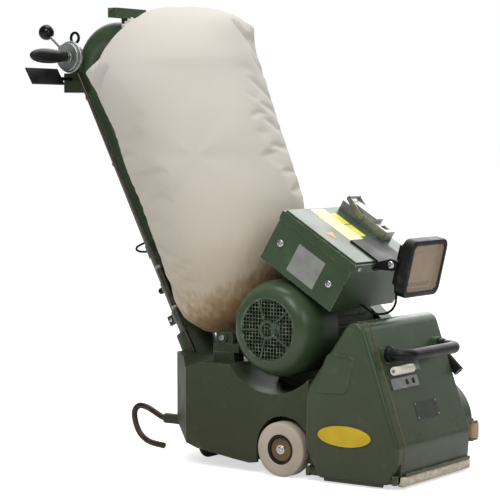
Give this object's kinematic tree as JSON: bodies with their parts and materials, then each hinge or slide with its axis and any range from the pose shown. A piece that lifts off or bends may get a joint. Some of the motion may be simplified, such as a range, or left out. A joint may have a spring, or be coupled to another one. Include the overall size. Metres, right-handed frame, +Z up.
{
  "type": "floor drum sander",
  "caption": "Walk-behind belt drum sander with tilted guide tube, upright dust bag, motor, switch box, work lamp and lift lever.",
  "frame": {"origin": "bottom centre of the machine's box, on the floor", "axes": "+Z up, -Y forwards (the sanding drum), +Y backwards (the guide tube), -X the door side, +X the belt side"},
  "size_m": [0.395, 0.9865, 0.962],
  "materials": {
    "green_paint": "satin",
    "dark_paint": "satin",
    "steel": "brushed",
    "chrome": "polished",
    "cast_aluminium": "satin",
    "black_steel": "satin",
    "grey_rubber": "matt",
    "black_rubber": "matt",
    "black_plastic": "moulded",
    "ball_plastic": "gloss",
    "white_plastic": "satin",
    "brown_seal": "matt",
    "felt": "felt",
    "bag_cloth": "woven cotton",
    "strap_cloth": "webbing",
    "abrasive": "grit cloth",
    "lens": "clear",
    "roller_plastic": "moulded",
    "fan_plastic": "moulded"
  },
  "bodies": {
    "root": {"main_body": "green_paint", "drum_housing": "green_paint", "door_seal": "brown_seal", "felt_strip": "felt", "front_handle": "black_plastic", "belt_guard": "green_paint", "tilt_hook": "steel", "motor_frame": "green_paint", "fan_cowl": "green_paint", "stator": "steel", "ball_bearings": "steel", "control_box": "green_paint", "box_lid": "green_paint", "fasteners": "chrome", "capacitors": "cast_aluminium", "power_connector": "cast_aluminium", "lamp_bracket": "black_steel", "v_belts": "black_rubber", "wheel_axle": "steel", "hinge_pins": "steel", "fan_housing": "cast_aluminium", "guide_tube": "green_paint", "cable_hook": "black_steel", "bag_bracket": "green_paint", "handle_block": "dark_paint", "handle_bar": "steel", "side_grips": "black_plastic", "hand_plate": "black_plastic", "cable_ring": "black_steel", "notch_plate": "steel", "dust_bag": "bag_cloth", "bag_strap": "strap_cloth", "lamp_cable": "black_rubber", "abrasive_belt": "abrasive"},
    "door": {"side_door": "green_paint"},
    "lamp": {"lamp_housing": "black_plastic", "lamp_lens": "lens"},
    "connector_lock": {"connector_lever": "cast_aluminium"},
    "switch": {"switch_knob": "black_plastic"},
    "motor_rotor": {"rotor": "steel", "cooling_fan": "fan_plastic", "motor_pulley": "cast_aluminium"},
    "drum": {"sanding_drum": "cast_aluminium", "drum_rubber": "black_rubber"},
    "yoke": {"tension_yoke": "steel"},
    "roller": {"tension_roller": "cast_aluminium"},
    "fan": {"dust_fan": "cast_aluminium"},
    "near_wheel": {"near_tyre": "grey_rubber", "near_hub": "black_plastic"},
    "far_wheel": {"far_tyre": "grey_rubber", "far_hub": "black_plastic"},
    "fork": {"rear_fork": "black_steel"},
    "support_roller": {"rear_roller": "black_rubber"},
    "side_roller": {"wall_roller": "roller_plastic"},
    "lifter": {"lift_lever": "cast_aluminium", "ball_knob": "ball_plastic"},
    "linkage": {"pull_rod": "steel"},
    "tensioner": {"tension_lever": "steel", "tension_grip": "white_plastic"},
    "belt_release": {"belt_lever": "black_plastic"}
  },
  "joints": [
    {"name": "lever_turn", "type": "hinge", "parent": "root", "child": "lifter", "pos_m": [-0.0615, 0.41575, 0.858], "axis": [1, 0, 0], "range_deg": [0, 40]},
    {"name": "rod_slide", "type": "slide", "parent": "root", "child": "linkage", "axis": [0, -0.47, -0.8827], "range_m": [0, 0.00718]},
    {"name": "fork_swing", "type": "hinge", "parent": "root", "child": "fork", "pos_m": [-0.0075, -0.05728, 0.07585], "axis": [-1, 0, 0], "range_deg": [0, 7.5]},
    {"name": "rear_roller_spin", "type": "hinge", "parent": "fork", "child": "support_roller", "pos_m": [-0.0155, 0.04675, 0.022], "axis": [1, 0, 0], "continuous": true},
    {"name": "near_wheel_spin", "type": "hinge", "parent": "root", "child": "near_wheel", "pos_m": [-0.1425, -0.21525, 0.0555], "axis": [1, 0, 0], "continuous": true},
    {"name": "far_wheel_spin", "type": "hinge", "parent": "root", "child": "far_wheel", "pos_m": [0.1275, -0.21525, 0.0555], "axis": [1, 0, 0], "continuous": true},
    {"name": "motor_spin", "type": "hinge", "parent": "root", "child": "motor_rotor", "pos_m": [-0.0075, -0.18525, 0.295], "axis": [1, 0, 0], "continuous": true},
    {"name": "drum_spin", "type": "hinge", "parent": "root", "child": "drum", "pos_m": [-0.0075, -0.37825, 0.097], "axis": [1, 0, 0], "continuous": true},
    {"name": "fan_spin", "type": "hinge", "parent": "root", "child": "fan", "pos_m": [-0.0075, -0.01025, 0.142], "axis": [1, 0, 0], "continuous": true},
    {"name": "tension_lever_turn", "type": "hinge", "parent": "root", "child": "tensioner", "pos_m": [-0.0335, -0.43971, 0.228], "axis": [0, -0.9432, 0.3322], "range_deg": [0, 30]},
    {"name": "yoke_slide", "type": "slide", "parent": "root", "child": "yoke", "axis": [0, 0, 1], "range_m": [-0.008, 0]},
    {"name": "roller_spin", "type": "hinge", "parent": "yoke", "child": "roller", "pos_m": [-0.0075, -0.38525, 0.2755], "axis": [1, 0, 0], "continuous": true},
    {"name": "side_roller_spin", "type": "hinge", "parent": "root", "child": "side_roller", "pos_m": [0.1825, -0.46325, 0.072], "axis": [0, 0, 1], "continuous": true},
    {"name": "belt_lever_turn", "type": "hinge", "parent": "root", "child": "belt_release", "pos_m": [0.1325, -0.40925, 0.245], "axis": [-1, 0, 0], "range_deg": [0, 30]},
    {"name": "door_open", "type": "hinge", "parent": "root", "child": "door", "pos_m": [-0.1475, -0.37925, 0.019], "axis": [0, -1, 0], "range_deg": [0, 85]},
    {"name": "lamp_tilt", "type": "hinge", "parent": "root", "child": "lamp", "pos_m": [0.0125, -0.41725, 0.429], "axis": [1, 0, 0], "range_deg": [-20, 40]},
    {"name": "connector_lock_turn", "type": "hinge", "parent": "root", "child": "connector_lock", "pos_m": [0.0695, -0.2732, 0.5144], "axis": [1, 0, 0], "range_deg": [0, 85]},
    {"name": "switch_turn", "type": "hinge", "parent": "root", "child": "switch", "pos_m": [0.1045, -0.23756, 0.44476], "axis": [1, 0, 0], "range_deg": [-45, 45]}
  ],
  "couplings": [
    {"joint": "lever_turn", "follows": "rod_slide", "rad_per_m": 97.204},
    {"joint": "fork_swing", "follows": "rod_slide", "rad_per_m": 18.182},
    {"joint": "drum_spin", "follows": "motor_spin", "ratio": 0.83471},
    {"joint": "fan_spin", "follows": "motor_spin", "ratio": 1.3285},
    {"joint": "roller_spin", "follows": "motor_spin", "ratio": 3.1018},
    {"joint": "tension_lever_turn", "follows": "yoke_slide", "rad_per_m": -65.44}
  ]
}
